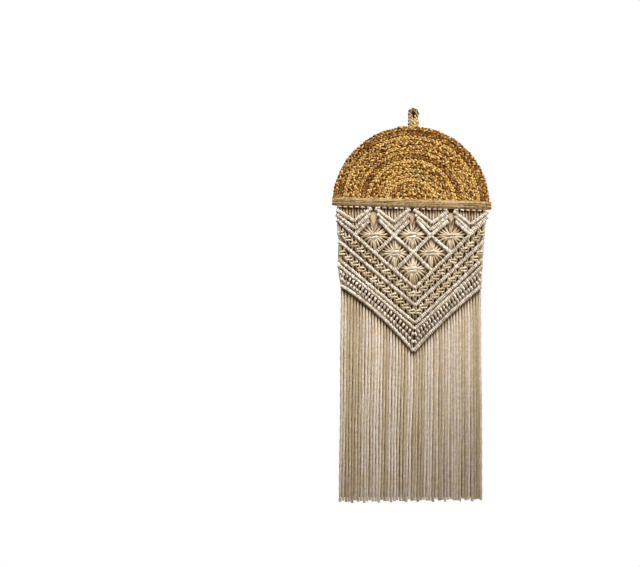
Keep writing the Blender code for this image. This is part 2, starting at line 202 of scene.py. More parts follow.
# The card partly glows, though it is no lamp: painted light, so that its colour and painted shade show evenly
# lit.
glow = wire.add("ShaderNodeEmission", inputs={"Color": tone, "Strength": 0.85})
in_light = wire.add("ShaderNodeBsdfDiffuse", inputs={"Color": tone})
paint = wire.add("ShaderNodeMixShader", inputs={0: 0.6, 1: in_light, 2: glow})
clear = wire.add("ShaderNodeBsdfTransparent")
back_side = wire.add("ShaderNodeNewGeometry", output="Backfacing")
put_out(wire.add("ShaderNodeMixShader", inputs={0: back_side, 1: paint, 2: clear}))
card = plane("card", Matrix.Rotation(math.pi / 2, 4, "X"), card_paint, *CARD_PATCHES)
for kind in ("diffuse", "glossy", "transmission", "shadow"):
    setattr(card, "visible_" + kind, False)

floor_paint, wire = new_material("floor_paint")
place = wire.add("ShaderNodeTexCoord", output="Object")
tone = place.cloud(3.0, 2.0).mix((0.74, 0.73, 0.71, 1.0), (0.80, 0.79, 0.78, 1.0))
glow = wire.add("ShaderNodeEmission", inputs={"Color": tone})
in_light = wire.add("ShaderNodeBsdfDiffuse", inputs={"Color": tone})
put_out(wire.add("ShaderNodeMixShader", inputs={0: 0.85, 1: in_light, 2: glow}))
floor_z = cad_box[0].z - FLOOR_DROP
floor = plane("floor", Matrix.Identity(4), floor_paint, (FLOOR_REACH, FLOOR_REACH, (0, 0, floor_z)))
floor.visible_diffuse = False

world = bpy.data.worlds.new("studio")
scene.world = world
world.use_nodes = True
wire = Wire(world.node_tree)
seen = wire.add("ShaderNodeLightPath", output="Is Camera Ray")
sky = seen.mix((0.10, 0.085, 0.062, 1.0), (*WHITE, 1.0))  # dim and warm as light, and white to look at
world.node_tree.links.new(sky.socket, world.node_tree.nodes["Background"].inputs["Color"])


def soft_light(name, place, aim, size, energy, colour, spread=180.0):
    data = bpy.data.lights.new(name, "AREA")
    data.size = size
    data.spread = math.radians(spread)
    data.energy = energy
    data.color = colour
    light = bpy.data.objects.new(name, data)
    light.location = place
    light.rotation_euler = (Vector(aim) - Vector(place)).to_track_quat("-Z", "Y").to_euler()
    light.visible_camera = False
    scene.collection.objects.link(light)


soft_light("key_light", (1.1, -2.2, 1.8), (0, 0, -0.22), size=0.5, energy=3.1, colour=WHITE, spread=22.0)
soft_light("fill_light", (-1.5, -2.2, 0.0), (0, 0, -0.35), size=1.2, energy=10.0, colour=(1.0, 0.99, 0.98))
soft_light("back_light", (0.9, 2.4, 0.9), (0, 0, -0.35), size=1.2, energy=75.0, colour=WHITE)

# ---------------------------------------------------------------------------------------------
# Half disc: flat three-strand plait of jute, sewn row to row in half rings. The outermost row is
# the rim, and the rows' ends are bound into the band below. Each strand is a bundle of yarns.

HEAD_TILT = math.radians(1.6)
DISC_CENTRE = (-4.7, -176.4)
DISC_RADIUS = 148.7
DISC_ROWS = 17
ROW_PITCH = DISC_RADIUS / DISC_ROWS
DISC_CUT = 8.0  # the rows' ends stand this far above the disc's centre, under the band's edge
ROW_START = 11.3  # each row's plait has run this much further at its left end than the row inside it
PLAIT_LENGTH = 18.5  # in which a strand crosses over and back
PLAIT_STEP = 1.7
PLAIT_SPREAD = 3.1  # from the plait's middle line to a strand at its edge
PLAIT_DEPTH = 1.9  # from the plait's middle to a strand that crosses in front
PLAIT_MIDDLE_Y = -0.3
PLAIT_SLACK = 0.42  # of a crossing, by which the plait runs ahead or behind where it is loose
SLACK_PACE = 0.045  # changes in a millimetre, as in the next two
LOOSE_PACE = 0.09
LUMP_PACE = 0.21
ROW_WANDER_PACE = 7  # changes along a row
JUTE_STRAND = 1.85  # radius
STITCH = 1.9  # radius of the cord that backs each row, and of the ones that join the rows
BACKING_DEPTH = 1.4  # behind the plait's middle
STITCH_DEPTH = 1.2

Run = namedtuple("Run", "points radius")  # one radius, or a list with one for each point


def lay(name, runs, surface, sides=6, step=None, closed=False, lobes=0, relief=0.0, lay_length=0.0):
    """A mesh of cords along runs of points, each through a smooth line, with the cord's own coordinates.

    Each cord has that many sides, and its line is cut evenly, step apart, where a step is given.
    A cord of several yarns has that many lobes, raised by relief, and they turn once in lay_length.
    The attribute "ring" is the place round the cord, "along" the way run, and "chance" the cord's own
    number; "forward" is 1 where a surface faces the front and -1 where it faces the wall.
    """
    curve = bpy.data.curves.new(name, "CURVE")
    curve.dimensions = "3D"
    for points, radius in runs:
        spline = curve.splines.new("POLY" if closed else "NURBS")
        spline.points.add(len(points) - 1)
        spline.points.foreach_set("co", [c for x, y, z in points for c in (x * MM, y * MM, z * MM, 1.0)])
        radii = radius if isinstance(radius, list) else [radius] * len(points)
        spline.points.foreach_set("radius", [r * MM for r in radii])
        spline.use_cyclic_u = closed
        if not closed:
            spline.order_u = 3
            spline.use_endpoint_u = True
            spline.resolution_u = 4
    tree = bpy.data.node_groups.new(name, "GeometryNodeTree")
    tree.interface.new_socket("Curve", in_out="INPUT", socket_type="NodeSocketGeometry")
    tree.interface.new_socket("Mesh", in_out="OUTPUT", socket_type="NodeSocketGeometry")
    wire = Wire(tree)
    line = wire.add("NodeGroupInput")
    if step:
        even = {"Curve": line, "Length": step * MM}
        line = wire.add("GeometryNodeResampleCurve", settings={"mode": "LENGTH"}, inputs=even)
    travelled = wire.add("GeometryNodeSplineParameter", output="Length")
    line = wire.add(
        "GeometryNodeStoreNamedAttribute",
        settings={"data_type": "FLOAT", "domain": "POINT"},
        inputs={"Geometry": line, "Name": "along", "Value": travelled},
    )
    chance = wire.add(
        "FunctionNodeRandomValue", output=1, settings={"data_type": "FLOAT"}, inputs={"Seed": len(runs)}
    )
    line = wire.add(
        "GeometryNodeStoreNamedAttribute",
        settings={"data_type": "FLOAT", "domain": "CURVE"},
        inputs={"Geometry": line, "Name": "chance", "Value": chance},
    )
    if lay_length:
        turn = {"Curve": line, "Tilt": travelled * (math.tau / (lay_length * MM))}
        line = wire.add("GeometryNodeSetCurveTilt", inputs=turn)
    section = wire.add("GeometryNodeCurvePrimitiveCircle", inputs={"Resolution": sides, "Radius": 1.0})
    place = wire.add("GeometryNodeInputPosition")
    section = wire.add(
        "GeometryNodeStoreNamedAttribute",
        settings={"data_type": "FLOAT_VECTOR", "domain": "POINT"},
        inputs={"Geometry": section, "Name": "ring", "Value": place},
    )
    if lobes:
        around = wire.add("GeometryNodeSplineParameter", output="Factor")
        raised = 1.0 + (around * (math.tau * lobes)).maths("COSINE") * relief
        scaled = wire.add(
            "ShaderNodeVectorMath", settings={"operation": "SCALE"}, inputs={"Vector": place, "Scale": raised}
        )
        section = wire.add("GeometryNodeSetPosition", inputs={"Geometry": section, "Position": scaled})
    width = wire.add("GeometryNodeInputRadius")
    swept = {"Curve": line, "Profile Curve": section, "Scale": width, "Fill Caps": True}
    tube = wire.add("GeometryNodeCurveToMesh", inputs=swept)
    tube = wire.add("GeometryNodeSetShadeSmooth", inputs={"Geometry": tube})
    wire.add("NodeGroupOutput", inputs={0: tube})
    sweeper = bpy.data.objects.new(name, curve)
    scene.collection.objects.link(sweeper)
    sweeper.modifiers.new("cords", "NODES").node_group = tree
    mesh = bpy.data.meshes.new_from_object(sweeper.evaluated_get(bpy.context.evaluated_depsgraph_get()))
    bpy.data.objects.remove(sweeper)
    bpy.data.node_groups.remove(tree)
    form = bmesh.new()
    form.from_mesh(mesh)
    bmesh.ops.remove_doubles(form, verts=form.verts, dist=0.001 * MM)
    bmesh.ops.recalc_face_normals(form, faces=form.faces)
    form.to_mesh(mesh)
    form.free()
    forward = mesh.attributes.new("forward", "FLOAT", "POINT")
    forward.data.foreach_set("value", [-vertex.normal.y for vertex in mesh.vertices])
    mesh.materials.clear()
    mesh.materials.append(surface)
    mesh.name = name
    made = bpy.data.objects.new(name, mesh)
    scene.collection.objects.link(made)
    return made


def settle(piece, slot, *nodes):
    """Gives a finished piece its body, and hides the CAD nodes that it stands for. Its slot is not used."""
    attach(piece, "root")
    if nodes:
        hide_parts(*nodes)


def plait(line, thickness, start=0.0, uneven=0.0):
    """The three strands of a flat plait along a line of (place, outward, size) triples.

    It has run as far as start when it begins, and uneven is how much its crossings gain and lose.
    """
    strands = [Run([], []) for k in range(3)]
    travelled = start
    for n, (place, outward, size) in enumerate(line):
        if n:
            travelled += (place - line[n - 1][0]).length
        slack = uneven * noise.noise(Vector((travelled * SLACK_PACE, start, 4)))
        for k, strand in enumerate(strands):
            turn = math.tau * (travelled / PLAIT_LENGTH + slack + k / 3)
            loose = noise.noise(Vector((travelled * LOOSE_PACE, k * 7.3, start)))
            across = PLAIT_SPREAD * size * (1 + 0.30 * loose) * math.sin(turn)
            lift = PLAIT_DEPTH * size * math.sin(2 * turn)
            point = place + outward * across + Vector((0, lift, 0))
            strand.points.append(point)
            strand.radius.append(thickness * size * (1 + 0.5 * noise.noise(point * LUMP_PACE)))
    return strands


def carried(wire, name, output="Fac"):
    """What lay() stored on a piece's surface under this name."""
    return wire.add("ShaderNodeAttribute", output=output, settings={"attribute_name": name})


def shaded_depth(wire, place, front, back):
    """0 at the depth called front, 1 from the one called back, and 0 where a surface faces the wall."""
    forward = carried(wire, "forward")
    return place.axis("Y").between(front * MM, back * MM) * forward.between(-0.5, 0.0)


def jute(name, dark, brown, golden, pale, streak, front, back, rim_browning=0.0):
    """Plant fibre: straw-coloured streaks that run with the strand, in brown and golden patches.

    It darkens between two depths, front and back, where little light reaches, but not on its back.
    With rim_browning it turns browner from the half disc's middle to its rim.
    """
    made, wire = new_material(name)
    ring = carried(wire, "ring", "Vector")
    chance = carried(wire, "chance")
    place = wire.add("ShaderNodeTexCoord", output="Object")
    lengthwise = carried(wire, "along") * 140.0 + chance * 50.0
    fibres_at = {"X": ring.axis("X") * streak, "Y": ring.axis("Y") * streak, "Z": lengthwise}
    fibres = wire.add("ShaderNodeCombineXYZ", inputs=fibres_at).cloud(1.0, 3.0)
    patches = place.cloud(15.0, 3.0)
    flecks = place.cloud(260.0, 2.0)
    sideways = place.axis("X")
    from_middle = wire.add(
        "ShaderNodeVectorMath", output="Value", settings={"operation": "DISTANCE"},
        inputs={0: place, 1: (DISC_CENTRE[0] * MM, 0.0, DISC_CENTRE[1] * MM)},
    )
    brownness = from_middle.between(0.07, 0.15) * rim_browning
    # The pale flecks are partly the jute's straw-coloured fibres and partly painted highlights, scattered
    # over the strands.
    light = (
        fibres * 0.4 + flecks * 0.6 + patches * 0.15 + chance * 0.22 - brownness * 0.2
    ).between(0.57, 0.79)
    shade = (
        patches * 0.75 + flecks * 0.15 + chance * 0.12 + sideways * 0.2 - brownness
    ).between(0.43, 0.60)
    depth = shaded_depth(wire, place, front, back)
    colour = depth.mix(light.mix(shade.mix(brown, golden), pale), dark)
    rough = 0.72 - 0.18 * light
    bump = wire.add("ShaderNodeBump", inputs={"Strength": 0.6, "Distance": 0.35 * MM, "Height": fibres})
    put_out(wire.add(
        "ShaderNodeBsdfPrincipled",
        inputs={"Base Color": colour, "Roughness": rough, "Specular IOR Level": 0.15, "Normal": bump},
    ))
    return made


plaited_jute = jute(
    "plaited_jute",
    dark=(0.036, 0.011, 0.001, 1), brown=(0.25, 0.082, 0.006, 1),
    golden=(0.34, 0.155, 0.018, 1), pale=(0.88, 0.54, 0.17, 1),
    streak=2.5, front=-4.1, back=-0.4, rim_browning=0.07,
)

strands = []
for row in range(1, DISC_ROWS):
    radius = ROW_PITCH * (row + 0.5)
    first = math.asin(DISC_CUT / radius)
    steps = round(radius * (math.pi - 2 * first) / PLAIT_STEP)
    line = []
    for step in range(steps + 1):
        angle = math.pi - first - (math.pi - 2 * first) * step / steps
        outward = Vector((math.cos(angle), 0, math.sin(angle)))
        wander = noise.noise(outward * ROW_WANDER_PACE + Vector((0, row * 3.1, 0)))
        line.append((outward * (radius + wander) + Vector((0, PLAIT_MIDDLE_Y, 0)), outward, 1.0))
    strands += plait(line, JUTE_STRAND, ROW_START * row, PLAIT_SLACK)
    behind = Vector((0, BACKING_DEPTH, 0))
    strands.append(Run([place + behind for place, outward, size in line], STITCH))
    if row > 1:
        behind = Vector((0, STITCH_DEPTH, 0))
        seam = [place - outward * ROW_PITCH / 2 + behind for place, outward, size in line]
        strands.append(Run(seam, STITCH))
disc = lay("plaited_half_disc", strands, plaited_jute, sides=8, step=1.9)
disc.data.transform(
    Matrix.Translation((DISC_CENTRE[0] * MM, 0, DISC_CENTRE[1] * MM)) @ Matrix.Rotation(HEAD_TILT, 4, "Y")
)
settle(disc, "jute_braid", "jute_half_disc")

# ---------------------------------------------------------------------------------------------
# Loop: a short length of the same plait, folded over with its two legs side by side. It hangs on
# a nail by its eye, and is sewn to the disc's rim.

LOOP_FOOT = (-0.53, -27.4)  # in the middle between the legs, on the rim
LOOP_EYE_REACH = 6.9  # from the loop's middle line to a leg's, beside the eye
LOOP_FOOT_REACH = 4.9
LOOP_FOOT_SIZE = 1.1
LOOP_EYE_SIZE = 0.80
LOOP_BEND_Z = -3.4  # where the legs end and the bend over the nail starts
LOOP_SEWN = 3  # how far the legs start below the rim
LOOP_OPENING = 2.6  # how fast the legs part towards the eye
LOOP_START = 4.0  # how far its plait has run at the first leg's foot


def between(start, end, share):
    """The value that lies a share of the way from start to end."""
    return start + (end - start) * share


line = []
leg_steps = round((LOOP_BEND_Z - LOOP_FOOT[1] + LOOP_SEWN) / PLAIT_STEP)
for step in range(leg_steps):
    rise = step / leg_steps
    opened = max(0.0, LOOP_OPENING * rise - (LOOP_OPENING - 1))
    reach = LOOP_FOOT_REACH + (LOOP_EYE_REACH - LOOP_FOOT_REACH) * opened * opened * (3 - 2 * opened)
    z = LOOP_FOOT[1] - LOOP_SEWN + rise * (LOOP_BEND_Z - LOOP_FOOT[1] + LOOP_SEWN)
    size = between(LOOP_FOOT_SIZE, LOOP_EYE_SIZE, opened)
    line.append((Vector((LOOP_FOOT[0] * (1 - rise) - reach, 0, z)), Vector((-1, 0, 0)), size))
bend_steps = round(math.pi * LOOP_EYE_REACH / PLAIT_STEP)
bend = []
for step in range(bend_steps + 1):
    angle = math.pi * (1 - step / bend_steps)
    outward = Vector((math.cos(angle), 0, math.sin(angle)))
    bend.append((Vector((0, 0, LOOP_BEND_Z)) + outward * LOOP_EYE_REACH, outward, LOOP_EYE_SIZE))
other_leg = []
for n, (place, outward, size) in enumerate(line):
    across = 2 * LOOP_FOOT[0] * (1 - n / leg_steps) - place.x
    other_leg.append((Vector((across, 0, place.z)), -outward, size))
line = line + bend + other_leg[::-1]
loop_jute = jute(
    "loop_jute",
    dark=(0.030, 0.008, 0.001, 1), brown=(0.24, 0.085, 0.012, 1),
    golden=(0.36, 0.19, 0.05, 1), pale=(0.80, 0.55, 0.24, 1),
    streak=2.5, front=-4.1, back=-0.4,
)
loop = lay("plaited_loop", plait(line, JUTE_STRAND, LOOP_START), loop_jute, sides=10)
settle(loop, "jute_braid", "hanging_loop")

# ---------------------------------------------------------------------------------------------
# Band: combed jute laid lengthwise and folded over the disc's cut edge, where it hides the rows'
# ends. The cotton is mounted on its lower edge.

BAND_LENGTH = 300.4
BAND_HALF_HEIGHT = 7.9
BAND_CENTRE = (-3.5, -173.7)
BAND_FRONT = 5.4  # from its middle, as the back is
BAND_BACK = 3.4
BAND_SQUARENESS = 0.7  # of its section: 1 is an ellipse, and less is squarer
BAND_END = 0.8  # how much of its thickness is left at its cut ends
BAND_STEPS = 30
FIBRE_RADIUS = 0.85
FIBRES = 46

combed_jute = jute(
    "combed_jute",
    dark=(0.09, 0.045, 0.01, 1), brown=(0.20, 0.12, 0.04, 1),
    golden=(0.29, 0.185, 0.074, 1), pale=(0.47, 0.34, 0.17, 1),
    streak=1.2, front=-4.5, back=-0.8,
)
draw = random.Random(4)
fibres = []
for n in range(FIBRES):
    angle = math.tau * (n + draw.uniform(-0.3, 0.3)) / FIBRES
    points = []
    for step in range(BAND_STEPS + 1):
        share = step / BAND_STEPS
        swayed = angle + 0.25 * noise.noise(Vector((share * 5, n * 1.7, 0)))
        swell = 1 + 0.06 * noise.noise(Vector((share * 9, 0.3 * n, 5)))
        if step in (0, BAND_STEPS):
            swell *= BAND_END
        facing = math.cos(swayed)
        thick = BAND_FRONT if facing > 0 else BAND_BACK
        y = -thick * swell * math.copysign(abs(facing) ** BAND_SQUARENESS, facing)
        z = BAND_HALF_HEIGHT * swell * math.sin(swayed)
        points.append(Vector(((share - 0.5) * BAND_LENGTH, y, z)))
    fibres.append(Run(points, FIBRE_RADIUS * draw.uniform(0.85, 1.15)))
band = lay("jute_band", fibres, combed_jute, sides=6, step=5.0)
band.data.transform(
    Matrix.Translation((BAND_CENTRE[0] * MM, 0, BAND_CENTRE[1] * MM)) @ Matrix.Rotation(HEAD_TILT, 4, "Y")
)
settle(band, "jute_strip", "binding_band")

# ---------------------------------------------------------------------------------------------
# Mounting knots: each cord is folded in half and looped over the band's lower edge, so that its
# loop shows as a short dash. Its two halves hang straight down through the bars below.

# The middle lines of the V-shaped bars that the cords run down to: their ends and tips, and how far
# each half bows upwards. The lattice's points are named for the ends of its bars, and for its crossings.
Line = namedtuple("Line", "left_x left_z tip_x tip_z right_x right_z left_bow right_bow", defaults=(0.0, 0.0))
LONG_BARS = {
    "a": Line(-144.4, -204.4, 2.0, -333.6, 135.9, -204.4),
    "b": Line(-140.6, -245.0, 2.8, -366.0, 132.3, -245.1),
    "c1": Line(-141.5, -279.0, 2.3, -399.2, 129.8, -278.8, 0.0, -1.0),
    "c2": Line(-142.5, -290.0, 1.9, -410.6, 129.3, -292.0, 2.4, -0.8),
    "d": Line(-136.8, -328.6, 0.0, -451.9, 127.4, -330.0, 10.5, 5.5),
}
UPPER_BARS = (
    Line(-145.3, -185.9, -112.3, -206.6, -78.9, -182.6),
    Line(-72.6, -182.6, -37.7, -208.5, -6.6, -184.2),
    Line(0.2, -185.3, 34.9, -210.4, 64.7, -188.6),
    Line(75.3, -188.6, 107.9, -213.2, 140.6, -189.2),
)
LOWER_BARS = (
    Line(-146.2, -193.8, -111.5, -221.0, -81.1, -192.5),
    Line(-68.9, -193.2, -37.6, -222.3, -7.9, -194.4),
    Line(2.4, -195.3, 33.6, -223.6, 65.1, -197.2),
    Line(77.4, -197.8, 107.9, -226.4, 139.6, -197.9),
)
Point = namedtuple("Point", "x z")
LATTICE = {
    "end1": Point(-84.0, -205.7),
    "end2": Point(-65.5, -204.7),
    "end3": Point(-8.9, -205.7),
    "end4": Point(5.7, -205.7),
    "end5": Point(65.1, -207.0),
    "end6": Point(78.9, -207.5),
    "v1": Point(-112.4, -234.0),
    "v2": Point(-37.4, -234.6),
    "v3": Point(31.9, -234.2),
    "v4": Point(107.9, -233.6),
    "p1": Point(-71.9, -266.9),
    "p2": Point(-0.9, -266.3),
    "p3": Point(69.9, -266.5),
    "q1": Point(-34.9, -299.9),
    "q2": Point(34.4, -300.3),
    "tip": Point(2.0, -333.6),
}
THIRD_BARS = (
    Line(*LONG_BARS["a"][:2], *LATTICE["v1"], *LATTICE["end1"]),
    Line(*LATTICE["end2"], *LATTICE["v2"], *LATTICE["end3"]),
    Line(*LATTICE["end4"], *LATTICE["v3"], *LATTICE["end5"]),
    Line(*LATTICE["end6"], *LATTICE["v4"], *LONG_BARS["a"][4:6]),
)
V_STRANDS = 12  # cords in a small V, two from each mounting knot
BAND_FOOT_DROP = 8.2  # from the band's middle line to its lower edge
MOUNT_DROP = 1.6  # from that edge to the dashes' middles
DASH_HALF_LENGTH = 2.9
DASH_RADIUS = 1.3
DASH_ROUTE = (  # a share of the half length, a depth and a rise, from one end round the front
    (-1.0, 1.6, 0.0), (-1.0, -1.4, 0.1), (-0.8, -3.9, 0.2), (0.0, -4.4, 0.3),
    (0.8, -3.9, 0.2), (1.0, -1.4, 0.1), (1.0, 1.6, 0.0),
)
UPRIGHT_RADII = [1.4, 2.1, 2.7, 2.5, 2.0, 1.9]  # from the band down
YARNS = 3
TWIST = 13.0  # in which a cord's yarns turn once
COTTON_HOLLOW = (0.11, 0.056, 0.014, 1)


def on_line(line, share):
    """A point of a V, from its left end (share 0) over its tip (1) to its right end (2)."""
    if share <= 1.0:
        bow = line.left_bow * 4 * share * (1 - share)
        return between(line.left_x, line.tip_x, share), between(line.left_z, line.tip_z, share) + bow
    share -= 1.0
    bow = line.right_bow * 4 * share * (1 - share)
    return between(line.tip_x, line.right_x, share), between(line.tip_z, line.right_z, share) + bow


def band_foot(x):
    """How high the band's lower edge is."""
    return BAND_CENTRE[1] - BAND_FOOT_DROP - (x - BAND_CENTRE[0]) * math.tan(HEAD_TILT)


def cotton(name, shade, body, light, front, back, streaks=900.0, slanting=1.0):
    """Cotton cord: matt and pale, with fibre streaks, so many in a metre of cord, and a slanting twist.

    It turns brown between two depths, front and back, in the shade of other cords, but not on its back.
    """
    made, wire = new_material(name)
    ring = carried(wire, "ring", "Vector")
    along = carried(wire, "along")
    chance = carried(wire, "chance")
    place = wire.add("ShaderNodeTexCoord", output="Object")
    x = ring.axis("X")
    y = ring.axis("Y")
    angle = y.maths("ARCTAN2", x)
    slant = (angle * YARNS + along * (math.tau * YARNS / (TWIST * MM))).maths("SINE")
    fuzz_at = {"X": x * 3.0 + chance * 90.0, "Y": y * 3.0, "Z": along * streaks}
    fuzz = wire.add("ShaderNodeCombineXYZ", inputs=fuzz_at).cloud(1.0, 3.0)
    warmth = place.cloud(38.0, 2.0)
    mottle = place.cloud(210.0, 2.0)
    # The twist's slant shows in the tone too: the yarns' crowns a little lighter and the grooves between them
    # darker, which is painted shade.
    tone = (mottle * 0.35 + chance * 0.24 + fuzz * 0.35 + slant * (0.035 * slanting)).between(0.31, 0.65)
    hue = (warmth * 0.7 + chance * 0.3).between(0.38, 0.60)
    depth = shaded_depth(wire, place, front, back)
    colour = (depth * 0.92).mix(tone.mix(shade, hue.mix(body, light)), COTTON_HOLLOW)
    height = slant * (0.5 * slanting) + fuzz
    bump = wire.add("ShaderNodeBump", inputs={"Strength": 0.5, "Distance": 0.3 * MM, "Height": height})
    put_out(wire.add(
        "ShaderNodeBsdfPrincipled",
        inputs={"Base Color": colour, "Roughness": 0.9, "Specular IOR Level": 0.1, "Normal": bump},
    ))
    return made


knotted_cotton = cotton(
    "knotted_cotton",
    shade=(0.47, 0.38, 0.28, 1), body=(0.81, 0.72, 0.575, 1), light=(0.83, 0.735, 0.655, 1),
    front=-4.0, back=1.8,
)
shaded_cotton = cotton(  # cords that lie behind the bars and in the knots' shade
    "shaded_cotton",
    shade=(0.45, 0.34, 0.21, 1), body=(0.80, 0.67, 0.46, 1), light=(0.84, 0.70, 0.55, 1),
    front=-4.7, back=1.0,
)
mounted_cotton = cotton(  # the dashes, which stand in front and catch the most light
    "mounted_cotton",
    shade=(0.62, 0.44, 0.34, 1), body=(0.90, 0.72, 0.60, 1), light=(0.92, 0.77, 0.69, 1),
    front=-5.0, back=0.0,
)

dashes = []
uprights = []
for upper, lower, third in zip(UPPER_BARS, LOWER_BARS, THIRD_BARS):
    for k in range(V_STRANDS):
        share = 2 * (k + 0.5) / V_STRANDS
        x1, z1 = on_line(upper, share)
        x2, z2 = on_line(lower, share)
        x3, z3 = on_line(third, share)
        top = band_foot(x1) - MOUNT_DROP
        route = (
            (x1, 2.6, top), (x1, 2.4, top - 4), (x1, 0.0, (top + z1) / 2),
            (x1, 0.2, z1), (x2, 0.6, z2), (x3, 0.6, z3),
        )
        uprights.append(Run([Vector(point) for point in route], UPRIGHT_RADII))
        if k % 2 == 0:
            middle = on_line(upper, share + 1 / V_STRANDS)[0]
            z = band_foot(middle) - MOUNT_DROP
            dash = [Vector((middle + DASH_HALF_LENGTH * part, y, z + rise)) for part, y, rise in DASH_ROUTE]
            dashes.append(Run(dash, DASH_RADIUS))
mounts = lay("mounting_knots", dashes, mounted_cotton, sides=8, step=1.2)
settle(mounts, "cotton_cord", "macrame_panel")
upright_cords = lay(
    "upright_cords", uprights, shaded_cotton, sides=9, step=2.6, lobes=YARNS, relief=0.07, lay_length=TWIST
)
settle(upright_cords, "cotton_cord", "macrame_panel")

# ---------------------------------------------------------------------------------------------
# Bars: rows of double half hitches. Every hanging cord is wrapped twice round a cord that is held
# across the work, so that a bar shows as a row of slanting wraps, pulled tight side by side.

WRAP = 2.0  # radius
LATTICE_WRAP = 2.25
CORE = 1.9
WRAP_REACH = 2.1  # from a bar's middle to the middle of its wraps, up and down
WRAP_DEPTH = 2.6  # the same, to the front and back
WRAP_CORNERS = 8
BAR_MIDDLE_Y = -1.4
CORE_STEPS = 8
WRAP_APART_SHARE = 0.23  # of a cord's room on the bar, from its middle to each of its two wraps
SIDE_CORDS = 24  # in each half of a long bar
DIAMOND_CORDS = 6  # in each side of a diamond
LEAN = 0.30  # how far the wraps lean from square across the bar towards upright
LEAN_APART = 0.08  # by which the second wrap of a cord leans more, and the first less
LEAN_LOOSE = 0.22
HITCH_PACE = 0.37  # changes of looseness in a millimetre
NEAR = 0.02  # share of a bar over which its direction is taken

noise.seed_set(5)  # else noise_vector(), the hand's unevenness, would differ each time

LATTICE_BARS = (
    ("end1", "v1"),
    ("end2", "v2", "p2", "q2"),
    ("end3", "v2", "p1"),
    ("end4", "v3", "p3"),
    ("end5", "v3", "p2", "q1"),
    ("end6", "v4"),
)


def turns(corners):
    """The angles of a closed wrap's corners."""
    return [math.tau * k / corners for k in range(corners)]


def hitches(at, cords, seed=0.0, thickness=WRAP):
    """A bar's closed wraps, two for each cord; at(share) gives the (x, z) middle of the bar."""
    rings = []
    for n in range(cords):
        for side in (-1, 1):
            share = (n + 0.5 + side * WRAP_APART_SHARE) / cords
            x, z = at(share)
            (x0, z0), (x1, z1) = at(max(0.0, share - NEAR)), at(min(1.0, share + NEAR))
            way = Vector((x1 - x0, 0, z1 - z0)).normalized()
            across = Vector((-way.z, 0, way.x))
            if across.z < 0:
                across = -across
            loose = noise.noise_vector(Vector((x * HITCH_PACE, seed, z * HITCH_PACE)))
            lean = LEAN + LEAN_APART * side + LEAN_LOOSE * loose.x
            up = (across * (1 - lean) + Vector((0, 0, lean))).normalized()
            centre = Vector((x + 0.5 * loose.x, BAR_MIDDLE_Y + 0.5 * loose.y, z + 0.5 * loose.z))
            ring = []
            for turn in turns(WRAP_CORNERS):
                away = up * (WRAP_REACH * math.cos(turn))
                ring.append(centre + away + Vector((0, -WRAP_DEPTH * math.sin(turn), 0)))
            rings.append(Run(ring, thickness * (1 + 0.12 * loose.z)))
    return rings


def straight(start, end):
    """A bar's middle line between two points of the lattice, from share 0 to 1."""
    return lambda share: (between(start[0], end[0], share), between(start[1], end[1], share))


def half_bar(line, side):
    """One half of a V, from its outer end (share 0) to its tip (1)."""
    return lambda share: on_line(line, share if side < 0 else 2 - share)


def core(at):
    """The cord that a bar's hitches are tied on."""
    route = [at(step / CORE_STEPS) for step in range(CORE_STEPS + 1)]
    return Run([Vector((x, BAR_MIDDLE_Y, z)) for x, z in route], CORE)


cores = []
short_wraps = []
for line in (*UPPER_BARS, *LOWER_BARS):
    for side in (-1, 1):
        at = half_bar(line, side)
        short_wraps += hitches(at, V_STRANDS // 2, side)
        cores.append(core(at))
settle(lay("v_bars", short_wraps, knotted_cotton, closed=True), "cotton_cord", "macrame_panel")

lattice_wraps = []
for n, names in enumerate(LATTICE_BARS):
    for start, end in zip(names, names[1:]):
        at = straight(LATTICE[start], LATTICE[end])
        lattice_wraps += hitches(at, DIAMOND_CORDS, 3.0 * n, LATTICE_WRAP)
        cores.append(core(at))
settle(lay("lattice_bars", lattice_wraps, knotted_cotton, closed=True), "cotton_cord", "macrame_panel")

long_wraps = []
for name in ("a", "b", "c1", "c2"):
    for side in (-1, 1):
        at = half_bar(LONG_BARS[name], side)
        long_wraps += hitches(at, SIDE_CORDS, side + ord(name[0]))
        cores.append(core(at))
settle(lay("long_bars", long_wraps, knotted_cotton, closed=True), "cotton_cord", "macrame_panel")
settle(lay("bar_cores", cores, knotted_cotton, sides=8, step=8.0), "cotton_cord", "macrame_panel")

# ---------------------------------------------------------------------------------------------
# Sunbursts: in each diamond the cords run from the upper bars into one knot and out to the lower
# bars. The knot is a square knot round all of them, which shows as two wraps one above the other.

Diamond = namedtuple("Diamond", "knot_x knot_z upper_left upper_right left right bottom")
DIAMONDS = (
    Diamond(-74.9, -234.6, "end1", "end2", "v1", "v2", "p1"),
    Diamond(-2.6, -233.6, "end3", "end4", "v2", "v3", "p2"),
    Diamond(69.6, -235.5, "end5", "end6", "v3", "v4", "p3"),
    Diamond(-34.8, -267.6, "v2", "v2", "p1", "p2", "q1"),
    Diamond(33.2, -266.8, "v3", "v3", "p2", "p3", "q2"),
    Diamond(-1.0, -298.0, "p2", "p2", "q1", "q2", "tip"),
)
RAY_SHARES = (0.03, 0.22, 0.41, 0.60, 0.78)  # where a side's cords leave its bar
END_RAY_SHARE = -0.09  # the same for the cords beside the gap between two bars' upper ends
RAY_ROOT_Y = {1: 2.2, -1: 1.2}  # behind the upper bars, and behind the lower ones
RAY_RADII = [1.8, 2.05, 1.9, 1.6, 1.0]  # from the bar to inside the knot
KNOT_WRAPS = ((-2.9, 5.6), (2.9, 6.2))  # each one's height in the knot and half its width
KNOT_WRAP = 2.4
KNOT_DEPTH = 2.8
KNOT_MIDDLE_Y = -1.2
KNOT_RISE = 0.21  # of the wraps, to the right
KNOT_CORNERS = 12

